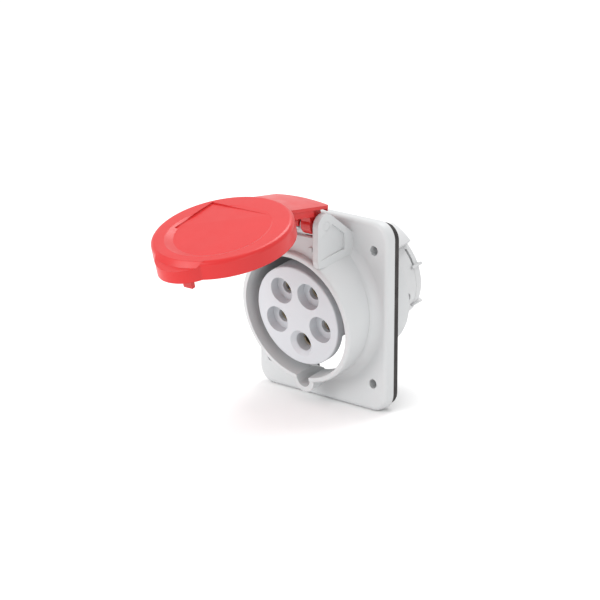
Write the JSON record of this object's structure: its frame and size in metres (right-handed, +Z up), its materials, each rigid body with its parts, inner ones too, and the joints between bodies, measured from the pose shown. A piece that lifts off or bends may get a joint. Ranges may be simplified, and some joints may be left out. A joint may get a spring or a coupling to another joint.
{
  "type": "industrial panel socket",
  "caption": "Angled flush-mounting industrial power socket with a square flange, gasket, round collar, pin contacts and a hinged round lid shown open.",
  "frame": {"origin": "centre of the four fixing holes, on the rear face of the flange gasket, where it meets the panel", "axes": "+Y points into the panel, the front looks towards -Y, +Z is up towards the hinge, +X is to the right seen from the front"},
  "size_m": [0.075, 0.1421, 0.0971],
  "materials": {
    "housing_plastic": "fine moulded texture",
    "carrier_plastic": "fine moulded texture",
    "rear_plastic": "fine moulded texture",
    "lid_plastic": "satin moulded",
    "gasket_rubber": "matt",
    "contact_brass": "turned",
    "spring_steel": "drawn wire",
    "zinc_steel": "zinc plated"
  },
  "bodies": {
    "housing": {"flange_housing": "housing_plastic", "flange_gasket": "gasket_rubber", "hinge_pin": "housing_plastic", "lid_spring": "spring_steel", "contact_carrier": "carrier_plastic", "terminal_block": "rear_plastic", "rear_cap": "rear_plastic", "rear_screws": "zinc_steel", "sleeve_l1": "contact_brass", "sleeve_l2": "contact_brass", "sleeve_l3": "contact_brass", "sleeve_neutral": "contact_brass", "sleeve_earth": "contact_brass", "clamp_ring_l1": "spring_steel", "clamp_ring_l2": "spring_steel", "clamp_ring_l3": "spring_steel", "clamp_ring_neutral": "spring_steel", "clamp_ring_earth": "spring_steel", "terminal_screw_l1": "zinc_steel", "terminal_screw_l2": "zinc_steel", "terminal_screw_l3": "zinc_steel", "terminal_screw_neutral": "zinc_steel", "terminal_screw_earth": "zinc_steel"},
    "lid": {"lid": "lid_plastic", "lid_seal": "gasket_rubber"}
  },
  "joints": [
    {"name": "lid_hinge", "type": "hinge", "parent": "housing", "child": "lid", "pos_m": [0, -0.0255, 0.042], "axis": [1, 0, 0], "range_deg": [-15, 85], "deforming": ["lid_spring"]}
  ]
}
